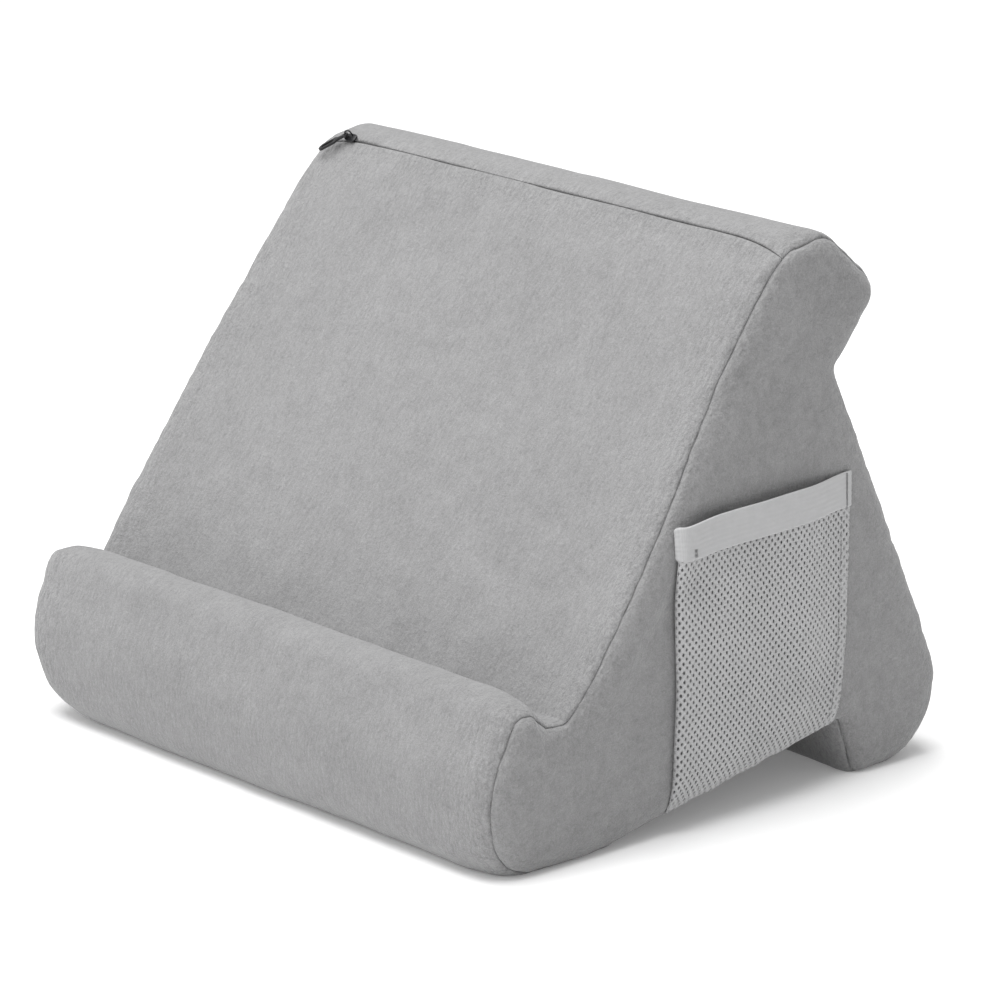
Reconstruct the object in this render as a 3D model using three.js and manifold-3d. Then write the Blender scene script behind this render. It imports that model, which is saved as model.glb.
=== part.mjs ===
// Soft wedge tablet stand: a foam block with a pinwheel section in a zipped plush cover,
// with a mesh pocket on its right side.
//
// Units are millimetres, +Z is up. X runs along the length, -Y is the front (the side the
// user sits at), and the part stands on Z = 0. Every shape is drawn in a section frame whose
// Y = 0 lies over the front of the flat base, and the whole group is then moved so that the
// origin is at the bottom centre of the bounding box.

import * as THREE from "three";
import { mergeVertices } from "three/addons/utils/BufferGeometryUtils.js";
import Module from "manifold-3d";

const wasm = await Module();
wasm.setup();

// ---------------------------------------------------------------- driving dimensions
const HALF_LENGTH = 135; // outer face of each side cover from the middle
const CLOTH = 2.0; // plush cloth, pile included
const GAP = 0.3; // clearance between pieces that are not one body
const SEAM_ROOM = 1.0; // room between the wrap and a side cover for the seam thread
const SEAM_THREAD_R = 0.3;

// corners of the section, counter-clockwise seen from +X: [y, z, corner radius]
const SECTION = [
  [22.0, 0.0, 60], // flat base turns into the raised bottom face
  [150.5, 24.6, 2.2], // notch in front of the foot
  [159.5, 0.0, 4.5], // front of the foot
  [217.3, 0.0, 28], // back of the foot, turning into the back face
  [147.2, 160.0, 2.2], // notch under the top lip
  [169.0, 187.6, 8], // top lip
  [143.0, 213.4, 11], // top
  [125.2, 211.6, 12], // top front corner, where the zip is
  [108.56, 189.08, 60], // front face, very slightly crowned near its top
  [10.8, 52.6, 2.4], // ledge floor, at the foot of the front face
  [3.0, 51.8, 2.4], // ledge floor, at the front lip
  [-2.0, 64.5, 4.0], // front lip, inner edge
  [-13.0, 64.5, 12], // front lip, outer edge
  [-27.5, 34.0, 40], // belly of the front lip
  [-24.0, 0.0, 14], // front of the base
];

// zip, set into the top front corner; depths are measured into the body from the cloth's face
const ZIP_NORMAL_DEG = 131; // direction the zip faces, from +Y towards +Z
const ZIP_SLOT = 2.0; // the two edges of the cloth stop this far apart
const ZIP_END_X = 124.0; // tapes and coils run this far each way
const TAPE_IN = 2.95; // inner and outer edge of a tape from the zip's middle
const TAPE_OUT = 14.0;
const TAPE_D = [2.4, 2.9];
const COIL_R = 0.9;
const COIL_T = 1.8; // coil centre line from the zip's middle
const COIL_D = 4.05;
const TACK_X = [120.4, 122.4];

// slider and pull
const SLIDER_X = -112.5; // slider at rest, zip closed
const PLATE_D = [-1.15, -0.3]; // upper plate stands over the cloth
const PIN_DIR = new THREE.Vector3(-0.787, -0.36, -0.5).normalize(); // pull at rest
const PIN_HEIGHT = 2.62; // pivot over the cloth
const PIN_X = -0.4; // pivot from the slider's middle
const PULL_ROLL_DEG = 27; // turn of the pull about its own length from lying flat
const BAIL_R = 1.3;
const BAIL_WIRE_R = 0.36;
const EYE_R = 0.6;
const PULL_T = 0.9;

// pocket on the right side: corners of the sheet [y, z]
const POCKET = [
  [62.6, 8.9],
  [149.6, 25.9],
  [154.4, 66.0],
  [155.3, 107.7],
  [63.4, 107.7],
];
const POCKET_DEPTH = 6.6; // how far the net stands off the side cover
const NET = 1.0;
const BAND_Z = [108.0, 121.4];
const BAND_T = 1.5;

// ---------------------------------------------------------------- section helpers
function filletPolygon(corners, chord) {
  const out = [];
  const n = corners.length;
  for (let i = 0; i < n; i++) {
    const [py, pz] = corners[(i + n - 1) % n];
    const [cy, cz, r] = corners[i];
    const [ny, nz] = corners[(i + 1) % n];
    const a = new THREE.Vector2(py - cy, pz - cz).normalize();
    const b = new THREE.Vector2(ny - cy, nz - cz).normalize();
    const half = Math.acos(THREE.MathUtils.clamp(a.dot(b), -1, 1)) / 2;
    const reach = r / Math.tan(half);
    const mid = a.clone().add(b).normalize();
    const centre = new THREE.Vector2(cy, cz).addScaledVector(mid, r / Math.sin(half));
    const start = new THREE.Vector2(cy, cz).addScaledVector(a, reach);
    const end = new THREE.Vector2(cy, cz).addScaledVector(b, reach);
    const t0 = Math.atan2(start.y - centre.y, start.x - centre.x);
    let sweep = Math.atan2(end.y - centre.y, end.x - centre.x) - t0;
    while (sweep > Math.PI) sweep -= 2 * Math.PI;
    while (sweep < -Math.PI) sweep += 2 * Math.PI;
    const steps = Math.max(3, Math.ceil((Math.abs(sweep) * r) / chord));
    for (let k = 0; k <= steps; k++) {
      const t = t0 + (sweep * k) / steps;
      out.push(new THREE.Vector2(centre.x + r * Math.cos(t), centre.y + r * Math.sin(t)));
    }
  }
  return out;
}

// the outline as a closed path that can be read at any arc length and depth
class Outline {
  constructor(points) {
    this.points = points;
    this.n = points.length;
    this.s = [0];
    for (let i = 0; i < this.n; i++) {
      this.s.push(this.s[i] + points[i].distanceTo(points[(i + 1) % this.n]));
    }
    this.total = this.s[this.n];
    const edge = (i) => {
      const a = points[(i + this.n) % this.n];
      const b = points[(i + 1 + this.n) % this.n];
      return new THREE.Vector2(b.x - a.x, b.y - a.y).normalize();
    };
    // outward normals at the corners, the path running counter-clockwise
    this.normal = points.map((_, i) => {
      const m = edge(i - 1).add(edge(i)).normalize();
      return new THREE.Vector2(m.y, -m.x);
    });
  }
  find(s) {
    let v = s % this.total;
    if (v < 0) v += this.total;
    let i = 0;
    while (i < this.n - 1 && this.s[i + 1] < v) i++;
    return [i, (v - this.s[i]) / (this.s[i + 1] - this.s[i])];
  }
  normalAt(s) {
    const [i, f] = this.find(s);
    return this.normal[i].clone().lerp(this.normal[(i + 1) % this.n], f).normalize();
  }
  at(s, depth) {
    const [i, f] = this.find(s);
    const p = this.points[i].clone().lerp(this.points[(i + 1) % this.n], f);
    return p.addScaledVector(this.normalAt(s), -depth);
  }
  // arc lengths of the corners that lie between two arc lengths
  corners(from, to) {
    const list = [];
    for (let turn = -1; turn <= 1; turn++) {
      for (let i = 0; i < this.n; i++) {
        const v = this.s[i] + turn * this.total;
        if (v > from + 0.05 && v < to - 0.05) list.push(v);
      }
    }
    return list.sort((p, q) => p - q);
  }
  run(from, to, depth) {
    return [from, ...this.corners(from, to), to].map((s) => this.at(s, depth));
  }
}

const outline = new Outline(filletPolygon(SECTION, 3.0));

// arc length of the zip: the point of the top front corner that faces ZIP_NORMAL_DEG
const zipDir = new THREE.Vector2(
  Math.cos(THREE.MathUtils.degToRad(ZIP_NORMAL_DEG)),
  Math.sin(THREE.MathUtils.degToRad(ZIP_NORMAL_DEG)),
);
let ZIP_S = 0;
{
  let best = 9;
  for (let s = 0; s < outline.total; s += 0.05) {
    const p = outline.at(s, 0);
    if (p.x < 110 || p.x > 140 || p.y < 195) continue;
    const miss = outline.normalAt(s).distanceTo(zipDir);
    if (miss < best) {
      best = miss;
      ZIP_S = s;
    }
  }
}

// ---------------------------------------------------------------- solids
function shapeOf(points, holes = []) {
  // holes only come out the right way round on a counter-clockwise outline
  const way = THREE.ShapeUtils.isClockWise(points) ? [...points].reverse() : points;
  const shape = new THREE.Shape(way);
  for (const h of holes) shape.holes.push(new THREE.Path(h));
  return shape;
}

// the points of a path, with no two neighbours in one place
function cleanPoints(path, divisions) {
  const list = [];
  for (const p of path.getPoints(divisions)) {
    if (!list.length || p.distanceTo(list[list.length - 1]) > 0.02) list.push(p);
  }
  while (list.length > 3 && list[0].distanceTo(list[list.length - 1]) < 0.02) list.pop();
  return list;
}

// a section drawn in Y and Z, run along X from x0 to x1
function alongX(points, x0, x1, holes = []) {
  const g = new THREE.ExtrudeGeometry(shapeOf(points, holes), {
    depth: x1 - x0,
    bevelEnabled: false,
    curveSegments: 12,
  });
  // drawing plane x, y, depth z  ->  Y, Z, X
  g.applyMatrix4(new THREE.Matrix4().set(0, 0, 1, x0, 1, 0, 0, 0, 0, 1, 0, 0, 0, 0, 0, 1));
  return g;
}

function toManifold(geometry) {
  const g = geometry.index ? geometry.toNonIndexed() : geometry.clone();
  for (const name of Object.keys(g.attributes)) if (name !== "position") g.deleteAttribute(name);
  const m = mergeVertices(g, 1e-4);
  return new wasm.Manifold(
    new wasm.Mesh({
      numProp: 3,
      vertProperties: new Float32Array(m.attributes.position.array),
      triVerts: new Uint32Array(m.index.array),
    }),
  );
}

function toGeometry(manifold) {
  const mesh = manifold.getMesh();
  const g = new THREE.BufferGeometry();
  g.setAttribute("position", new THREE.BufferAttribute(new Float32Array(mesh.vertProperties), 3));
  g.setIndex(new THREE.BufferAttribute(new Uint32Array(mesh.triVerts), 1));
  g.computeVertexNormals();
  return g;
}

// a closed ring of thread that follows the outline at one X; built as its own indexed surface
function threadLoop(x, depth, radius, sides = 6) {
  const ringPts = outline.points.map((_, i) => outline.at(outline.s[i], depth));
  const pos = [];
  const idx = [];
  const n = ringPts.length;
  for (let i = 0; i < n; i++) {
    const nrm = outline.normal[i];
    for (let k = 0; k < sides; k++) {
      const t = (2 * Math.PI * k) / sides;
      const c = radius * Math.cos(t);
      const s = radius * Math.sin(t);
      pos.push(x + s, ringPts[i].x + nrm.x * c, ringPts[i].y + nrm.y * c);
    }
  }
  for (let i = 0; i < n; i++) {
    const j = (i + 1) % n;
    for (let k = 0; k < sides; k++) {
      const l = (k + 1) % sides;
      idx.push(i * sides + k, j * sides + l, i * sides + l);
      idx.push(i * sides + k, j * sides + k, j * sides + l);
    }
  }
  const g = new THREE.BufferGeometry();
  g.setAttribute("position", new THREE.BufferAttribute(new Float32Array(pos), 3));
  g.setIndex(idx);
  g.computeVertexNormals();
  return g;
}

const root = new THREE.Group();

function add(name, geometry, color, roughness, metalness = 0) {
  const mesh = new THREE.Mesh(
    geometry,
    new THREE.MeshStandardMaterial({ color, roughness, metalness }),
  );
  mesh.name = name;
  root.add(mesh);
  return mesh;
}

const PLUSH = 0xa3a3a3;
const FOAM = 0xe6e2d2;
const TAPE = 0xb9b9b9;
const THREAD = 0x8c8c8c;
const BLACK = 0x161616;
const NET_GREY = 0xa6a6a6;
const BAND_GREY = 0xc4c4c4;

// ---------------------------------------------------------------- cover
const wrapHalf = HALF_LENGTH - CLOTH - SEAM_ROOM;
const slotHalf = ZIP_SLOT / 2;

// the wrap is one strip of cloth whose two ends meet at the zip
{
  const from = ZIP_S + slotHalf;
  const to = ZIP_S + outline.total - slotHalf;
  const outer = outline.run(from, to, 0);
  const inner = outline.run(from, to, CLOTH).reverse();
  add("cover_wrap", alongX([...outer, ...inner], -wrapHalf, wrapHalf), PLUSH, 0.95);
}

for (const [side, name] of [
  [1, "cover_side_right"],
  [-1, "cover_side_left"],
]) {
  const x0 = side > 0 ? HALF_LENGTH - CLOTH : -HALF_LENGTH;
  add(name, alongX(outline.points, x0, x0 + CLOTH), PLUSH, 0.95);
}

for (const [side, name] of [
  [1, "side_seam_thread_right"],
  [-1, "side_seam_thread_left"],
]) {
  const x = side * (HALF_LENGTH - CLOTH - SEAM_ROOM / 2);
  add(name, threadLoop(x, CLOTH / 2, SEAM_THREAD_R), THREAD, 0.8);
}

// ---------------------------------------------------------------- zip
for (const [side, tape, coil, stitch] of [
  [-1, "zipper_tape_rear", "zipper_coil_rear", "zipper_stitch_rear"],
  [1, "zipper_tape_front", "zipper_coil_front", "zipper_stitch_front"],
]) {
  // the path runs counter-clockwise, so a larger arc length is further down the front face
  const s0 = ZIP_S + side * TAPE_IN;
  const s1 = ZIP_S + side * TAPE_OUT;
  const [lo, hi] = s0 < s1 ? [s0, s1] : [s1, s0];
  const top = outline.run(lo, hi, TAPE_D[0]);
  const low = outline.run(lo, hi, TAPE_D[1]).reverse();
  add(tape, alongX([...top, ...low], -ZIP_END_X, ZIP_END_X), TAPE, 0.9);

  const c = outline.at(ZIP_S, 0).addScaledVector(zipDir, -COIL_D);
  const along = new THREE.Vector2(-zipDir.y, zipDir.x); // towards the front face
  c.addScaledVector(along, side * COIL_T);
  const ring = [];
  for (let k = 0; k < 16; k++) {
    const t = (2 * Math.PI * k) / 16;
    ring.push(new THREE.Vector2(c.x + COIL_R * Math.cos(t), c.y + COIL_R * Math.sin(t)));
  }
  add(coil, alongX(ring, -ZIP_END_X, ZIP_END_X), TAPE, 0.55);

  const q = outline.at(ZIP_S + side * 8.0, TAPE_D[1] + 0.45);
  const st = [];
  for (let k = 0; k < 8; k++) {
    const t = (2 * Math.PI * k) / 8;
    st.push(new THREE.Vector2(q.x + 0.25 * Math.cos(t), q.y + 0.25 * Math.sin(t)));
  }
  add(stitch, alongX(st, -ZIP_END_X, ZIP_END_X), THREAD, 0.8);
}

const zipOrigin = outline.at(ZIP_S, 0);
const X = new THREE.Vector3(1, 0, 0);
const N = new THREE.Vector3(0, zipDir.x, zipDir.y); // out of the body
const T = new THREE.Vector3(0, zipDir.y, -zipDir.x); // towards the rear
// a point in the zip's own frame: along X, towards the rear, out of the body
function zip(x, t, n) {
  return new THREE.Vector3(x, zipOrigin.x, zipOrigin.y).addScaledVector(T, t).addScaledVector(N, n);
}
function zipBox(x0, x1, t0, t1, n0, n1) {
  const g = new THREE.BoxGeometry(x1 - x0, t1 - t0, n1 - n0);
  const m = new THREE.Matrix4().makeBasis(X, T, N);
  g.translate((x0 + x1) / 2, (t0 + t1) / 2, (n0 + n1) / 2);
  g.applyMatrix4(m);
  g.translate(0, zipOrigin.x, zipOrigin.y);
  return g;
}

// ---------------------------------------------------------------- foam
// one block, cut back under the tapes and again under the slider
{
  const skin = CLOTH + 0.4;
  const edge = TAPE_OUT + 0.8;
  const under = TAPE_D[1] + 0.9;
  const half = wrapHalf - 0.2;
  const pts = [
    ...outline.run(ZIP_S + edge, ZIP_S + outline.total - edge, skin),
    ...outline.run(ZIP_S - edge, ZIP_S + edge, under),
  ];
  const block = toManifold(alongX(pts, -half, half));
  const channel = toManifold(zipBox(-half - 1, half + 1, -4.4, 4.4, -7.0, 3.0));
  add("foam_core", toGeometry(block.subtract(channel)), FOAM, 0.9);
}

// a stitched bar across the coils at each end of the zip
add("zipper_end_tack_left", zipBox(-TACK_X[1], -TACK_X[0], -1.9, 1.9, -2.95, -2.45), THREAD, 0.8);
add("zipper_end_tack_right", zipBox(TACK_X[0], TACK_X[1], -1.9, 1.9, -2.95, -2.45), THREAD, 0.8);

// a plate of the slider: an outline in X and T, cut to a thickness along N
function zipPlate(points, n0, n1) {
  const g = new THREE.ExtrudeGeometry(shapeOf(points.map(([a, b]) => new THREE.Vector2(a, b))), {
    depth: n1 - n0,
    bevelEnabled: false,
  });
  g.translate(0, 0, n0);
  g.applyMatrix4(new THREE.Matrix4().makeBasis(X, T, N));
  g.translate(0, zipOrigin.x, zipOrigin.y);
  return g;
}

// pull at rest: its length, its hinge axis, and the direction it faces
const FACE_A = new THREE.Vector3(
  0,
  -(SECTION[7][1] - SECTION[8][1]),
  SECTION[7][0] - SECTION[8][0],
).normalize();
const pullDir = PIN_DIR.clone();
const flat = FACE_A.clone().addScaledVector(pullDir, -FACE_A.dot(pullDir)).normalize();
const pullFace = flat.clone().applyAxisAngle(pullDir, THREE.MathUtils.degToRad(PULL_ROLL_DEG));
const pullAxis = new THREE.Vector3().crossVectors(pullDir, pullFace).normalize();
const pivot = zip(SLIDER_X + PIN_X, 0, PIN_HEIGHT);

{
  const upper = [];
  const lower = [];
  for (const [x, t] of [
    [-3.4, 1.5],
    [-2.4, 2.7],
    [0.2, 3.1],
    [3.0, 3.1],
    [4.6, 2.3],
    [4.6, -2.3],
    [3.0, -3.1],
    [0.2, -3.1],
    [-2.4, -2.7],
    [-3.4, -1.5],
  ]) {
    upper.push([SLIDER_X + x, t]);
  }
  for (const [x, t] of [
    [-4.4, 1.6],
    [-3.2, 3.3],
    [3.4, 3.3],
    [4.4, 2.4],
    [4.4, -2.4],
    [3.4, -3.3],
    [-3.2, -3.3],
    [-4.4, -1.6],
  ]) {
    lower.push([SLIDER_X + x, t]);
  }
  let body = toManifold(zipPlate(upper.reverse(), -PLATE_D[1], -PLATE_D[0]));
  body = body.add(toManifold(zipPlate(lower.reverse(), -6.3, -5.35)));
  body = body.add(toManifold(zipBox(SLIDER_X - 2.6, SLIDER_X + 1.4, -0.55, 0.55, -5.6, 0.6)));
  for (const t of [-1, 1]) {
    const a = t > 0 ? 2.95 : -3.3;
    body = body.add(
      toManifold(zipBox(SLIDER_X - 3.0, SLIDER_X + 3.2, a, a + 0.35, -5.6, -4.2)),
    );
  }
  // the bail: a bow of wire centred on the pivot, its two legs let into the upper plate
  const pts = [];
  const a0 = pivot.clone().addScaledVector(pullDir, BAIL_R);
  const b0 = pivot.clone().addScaledVector(pullDir, -BAIL_R);
  // each leg drops along -N to just inside the plate
  const drop = (p) => {
    const h = p.clone().sub(zip(SLIDER_X, 0, 0)).dot(N);
    return p.clone().addScaledVector(N, 0.75 - h);
  };
  pts.push(drop(a0));
  for (let k = 0; k <= 8; k++) {
    const t = (Math.PI * k) / 8;
    pts.push(
      pivot
        .clone()
        .addScaledVector(pullDir, BAIL_R * Math.cos(t))
        .addScaledVector(pullFace, BAIL_R * Math.sin(t)),
    );
  }
  pts.push(drop(b0));
  // spheres and short bars make the bow, so that it is one closed body whatever its bends
  let bow = null;
  const up = new THREE.Vector3(0, 1, 0);
  for (let i = 0; i < pts.length - 1; i++) {
    const d = pts[i + 1].clone().sub(pts[i]);
    const bar = new THREE.CylinderGeometry(BAIL_WIRE_R, BAIL_WIRE_R, d.length(), 8);
    bar.applyQuaternion(new THREE.Quaternion().setFromUnitVectors(up, d.clone().normalize()));
    const m = pts[i].clone().lerp(pts[i + 1], 0.5);
    bar.translate(m.x, m.y, m.z);
    const part = toManifold(bar);
    bow = bow ? bow.add(part) : part;
    if (i > 0) {
      const ball = new THREE.SphereGeometry(BAIL_WIRE_R * 1.01, 8, 5);
      ball.translate(pts[i].x, pts[i].y, pts[i].z);
      bow = bow.add(toManifold(ball));
    }
  }
  body = body.add(bow);
  add("zipper_slider", toGeometry(body), BLACK, 0.4, 0.6);
}

{
  // the pull is cut from sheet: an eye round the bail, a neck, and a grip with a slot
  const s = new THREE.Shape();
  const e = BAIL_R;
  const grip = 2.2;
  s.moveTo(e + 0.6, 1.12);
  s.lineTo(4.0, 0.95);
  s.quadraticCurveTo(5.2, 1.0, 6.4, grip);
  s.lineTo(12.4, grip);
  s.absarc(12.4, 0, grip, Math.PI / 2, -Math.PI / 2, true);
  s.lineTo(6.4, -grip);
  s.quadraticCurveTo(5.2, -1.0, 4.0, -0.95);
  s.lineTo(e + 0.6, -1.12);
  s.absarc(e, 0, 1.27, THREE.MathUtils.degToRad(-62), THREE.MathUtils.degToRad(62), true);
  const eye = new THREE.Path();
  eye.absarc(e, 0, EYE_R, 0, 2 * Math.PI, true);
  const slot = new THREE.Path();
  slot.moveTo(8.0, 1.05);
  slot.absarc(8.0, 0, 1.05, Math.PI / 2, -Math.PI / 2, false);
  slot.lineTo(12.2, -1.05);
  slot.absarc(12.2, 0, 1.05, -Math.PI / 2, Math.PI / 2, false);
  const cut = shapeOf(cleanPoints(s, 10), [cleanPoints(eye, 10), cleanPoints(slot, 8)]);
  const g = new THREE.ExtrudeGeometry(cut, { depth: PULL_T, bevelEnabled: false });
  g.translate(0, 0, -PULL_T / 2);
  // drawing x along the pull, drawing z along the way it faces
  const across = new THREE.Vector3().crossVectors(pullFace, pullDir).normalize();
  g.applyMatrix4(new THREE.Matrix4().makeBasis(pullDir, across, pullFace));
  const mesh = add("zipper_pull", g, BLACK, 0.4, 0.6);
  mesh.position.copy(pivot);
  mesh.userData.hinge = { pos: pivot.toArray(), axis: pullAxis.toArray() };
}

// ---------------------------------------------------------------- pocket
// the net is a shallow tray, open at the top: a sheet standing off the side cover, with
// returns at its two sides and along the bottom
{
  const x0 = HALF_LENGTH + GAP;
  const x1 = HALF_LENGTH + POCKET_DEPTH;
  const outer = POCKET.map(([y, z]) => new THREE.Vector2(y, z));
  const inner = [
    [62.6 + NET, 8.9 + NET + 0.25],
    [149.6 - NET + 0.05, 25.9 + NET + 0.05],
    [154.4 - NET, 66.0],
    [155.3 - NET, 120],
    [63.4 + NET, 120],
  ].map(([y, z]) => new THREE.Vector2(y, z));
  const tray = toManifold(alongX(outer, x0, x1)).subtract(
    toManifold(alongX(inner, x0 - 1, x1 - NET)),
  );
  add("pocket_mesh", toGeometry(tray), NET_GREY, 0.7);
}

// the elastic band runs along the pocket's mouth and turns in to the side cover at both ends
{
  const [yA, yB] = [63.3, 155.4];
  const x0 = HALF_LENGTH + GAP;
  const x1 = HALF_LENGTH + POCKET_DEPTH + 0.4;
  const plan = new THREE.Shape();
  plan.moveTo(x0, yA);
  plan.lineTo(x1 - 1.4, yA);
  plan.quadraticCurveTo(x1, yA, x1, yA + 1.4);
  plan.lineTo(x1, yB - 1.4);
  plan.quadraticCurveTo(x1, yB, x1 - 1.4, yB);
  plan.lineTo(x0, yB);
  plan.lineTo(x0, yB - BAND_T);
  plan.lineTo(x1 - BAND_T - 0.4, yB - BAND_T);
  plan.lineTo(x1 - BAND_T, yB - BAND_T - 0.4);
  plan.lineTo(x1 - BAND_T, yA + BAND_T + 0.4);
  plan.lineTo(x1 - BAND_T - 0.4, yA + BAND_T);
  plan.lineTo(x0, yA + BAND_T);
  plan.closePath();
  const g = new THREE.ExtrudeGeometry(plan, {
    depth: BAND_Z[1] - BAND_Z[0],
    bevelEnabled: false,
    curveSegments: 6,
  });
  g.translate(0, 0, BAND_Z[0]);
  add("pocket_elastic_band", g, BAND_GREY, 0.85);
}

// thread down the rear hem of the net, and a bar of thread at each end of the band
{
  const x = HALF_LENGTH + POCKET_DEPTH + 0.45;
  const bar = (y0, z0, y1, z1, w, name) => {
    const d = new THREE.Vector2(y1 - y0, z1 - z0);
    const len = d.length();
    const g = new THREE.BoxGeometry(0.5, w, len);
    g.rotateX(-Math.atan2(d.x, d.y));
    g.translate(x, (y0 + y1) / 2, (z0 + z1) / 2);
    add(name, g, THREAD, 0.8);
  };
  bar(152.6, 66.8, 153.4, 107.0, 0.5, "pocket_hem_thread");
  const xb = HALF_LENGTH + POCKET_DEPTH + 0.4 + 0.45;
  for (const [y, name] of [
    [66.2, "pocket_bartack_front"],
    [152.8, "pocket_bartack_rear"],
  ]) {
    const g = new THREE.BoxGeometry(0.5, 1.0, 10.0);
    g.translate(xb, y, (BAND_Z[0] + BAND_Z[1]) / 2);
    add(name, g, THREAD, 0.8);
  }
}

// ---------------------------------------------------------------- place the origin
// bottom centre of the bounding box
const box = new THREE.Box3();
root.updateMatrixWorld(true);
box.setFromObject(root, true);
root.position.set(-(box.min.x + box.max.x) / 2, -(box.min.y + box.max.y) / 2, -box.min.z);
root.updateMatrixWorld(true);

export default root;
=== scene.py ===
import math

import bpy
import numpy as np
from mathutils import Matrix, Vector, noise
from mathutils.bvhtree import BVHTree
from mathutils.geometry import delaunay_2d_cdt


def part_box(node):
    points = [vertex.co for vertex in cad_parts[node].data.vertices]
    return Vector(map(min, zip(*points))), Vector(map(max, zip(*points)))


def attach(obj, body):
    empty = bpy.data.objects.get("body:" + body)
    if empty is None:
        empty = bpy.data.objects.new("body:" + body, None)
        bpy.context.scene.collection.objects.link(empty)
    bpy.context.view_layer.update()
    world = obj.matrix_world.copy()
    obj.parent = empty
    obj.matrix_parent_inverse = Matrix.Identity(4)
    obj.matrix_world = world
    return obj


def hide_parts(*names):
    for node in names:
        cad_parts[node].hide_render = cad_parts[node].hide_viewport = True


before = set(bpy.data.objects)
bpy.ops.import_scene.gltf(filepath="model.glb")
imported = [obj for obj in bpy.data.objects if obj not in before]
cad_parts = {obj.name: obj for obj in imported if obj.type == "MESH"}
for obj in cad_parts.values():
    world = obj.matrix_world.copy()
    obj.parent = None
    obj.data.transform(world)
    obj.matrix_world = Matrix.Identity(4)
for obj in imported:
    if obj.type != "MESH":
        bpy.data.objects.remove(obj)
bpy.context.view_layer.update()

# Everything is worked out in millimetres in the section frame of the design (Y = 0 over the
# front of the flat base, X = 0 in the middle of the cushion) and moved into the row frame last.
MM = 0.001
_lo, _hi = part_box("cover_wrap")
SHIFT = np.array([(_lo.x + _hi.x) * 500.0, _lo.y * 1000.0 + 26.5384, 0.0])


def row(p):
    return (np.asarray(p, float).reshape(-1, 3) + SHIFT) * MM


def n3(p, scale, seed=0.0):
    """Smooth noise from about -1 to 1 at each point, with features about scale mm across."""
    p = np.asarray(p, float).reshape(-1, 3) / scale
    return np.array([noise.noise(Vector((a + seed, b - seed * 0.7, c + seed * 1.3))) for a, b, c in p])


def smooth(t):
    t = np.clip(t, 0.0, 1.0)
    return t * t * (3 - 2 * t)


# ------------------------------------------------------------------ outlines
# corners [y, z, radius], counter-clockwise seen from +X. MID is the section in the middle of
# the cushion, CREASE the line of the side seams, which is pulled in all round.
MID = [
    (22, 0, 60), (150.5, 24.6, 3.2), (159.5, 0, 5), (217.3, 0, 28), (147.2, 160, 3.4),
    (170.2, 187.4, 8.5), (141.5, 211.3, 12), (125.7, 212.26, 12), (108.56, 189.08, 60),
    (10.8, 52.6, 3.0), (3, 51.8, 3.0), (-2, 64.5, 4.2), (-13, 64.5, 12), (-27.5, 34, 40), (-24, 0, 14),
]
CREASE = [
    (24, 0.3, 60), (150.8, 24.2, 3), (159.8, 0.2, 5), (215.5, 0.8, 28), (147, 159.5, 3.5),
    (170.4, 186.6, 8.5), (144.4, 210.4, 12), (124.5, 206, 10), (107.58, 183.69, 60),
    (11, 53, 2.6), (1.5, 53.6, 3), (-5, 59.6, 4), (-12, 60.8, 5), (-24.8, 34.5, 40), (-20.5, 1.5, 20),
]


class Ring:
    def __init__(self, corners):
        c = np.array([q[:2] for q in corners], float)
        self.n = len(c)
        self.arcs, self.starts, self.ends = [], [], []
        for i, (_, _, r) in enumerate(corners):
            p, q, w = c[i - 1], c[i], c[(i + 1) % self.n]
            a = (p - q) / np.linalg.norm(p - q)
            b = (w - q) / np.linalg.norm(w - q)
            half = math.acos(max(-1, min(1, float(a @ b)))) / 2
            m = (a + b) / np.linalg.norm(a + b)
            ctr = q + m * r / math.sin(half)
            s, e = q + a * r / math.tan(half), q + b * r / math.tan(half)
            t0 = math.atan2(s[1] - ctr[1], s[0] - ctr[0])
            sw = math.atan2(e[1] - ctr[1], e[0] - ctr[0]) - t0
            while sw > math.pi:
                sw -= 2 * math.pi
            while sw < -math.pi:
                sw += 2 * math.pi
            self.arcs.append((ctr, r, t0, sw))
            self.starts.append(s)
            self.ends.append(e)

    def at(self, u):
        """Points and outward normals; u from 2i to 2i+1 is corner i, 2i+1 to 2i+2 the edge after it."""
        u = np.mod(np.atleast_1d(np.asarray(u, float)), 2 * self.n)
        P = np.zeros((len(u), 2))
        N = np.zeros((len(u), 2))
        for i in range(self.n):
            ctr, r, t0, sw = self.arcs[i]
            k = (u >= 2 * i) & (u < 2 * i + 1)
            a = t0 + sw * (u[k] - 2 * i)
            d = np.stack([np.cos(a), np.sin(a)], 1)
            P[k] = ctr + r * d
            N[k] = d if sw > 0 else -d
            k = (u >= 2 * i + 1) & (u < 2 * i + 2)
            f = (u[k] - 2 * i - 1)[:, None]
            s, e = self.ends[i], self.starts[(i + 1) % self.n]
            P[k] = s + (e - s) * f
            t = (e - s) / np.linalg.norm(e - s)
            N[k] = [t[1], -t[0]]
        return P, N


mid, crease = Ring(MID), Ring(CREASE)
NC = len(MID)
ZIP_DEG = 131.0
_c, _r, _t0, _sw = mid.arcs[7]
U_ZIP = 14 + (math.radians(ZIP_DEG) - _t0) / _sw
_u = np.linspace(U_ZIP, U_ZIP + 2 * NC, 12001)
_p, _ = mid.at(_u)
_s = np.concatenate([[0], np.cumsum(np.linalg.norm(np.diff(_p, axis=0), axis=1))])
TOTAL = float(_s[-1])


def u_of(s):
    """The parameter at arc length s on from the zip, down the front face first."""
    s = np.asarray(s, float)
    turns = np.floor(s / TOTAL)
    return np.interp(s - turns * TOTAL, _s, _u) + turns * 2 * NC


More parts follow.
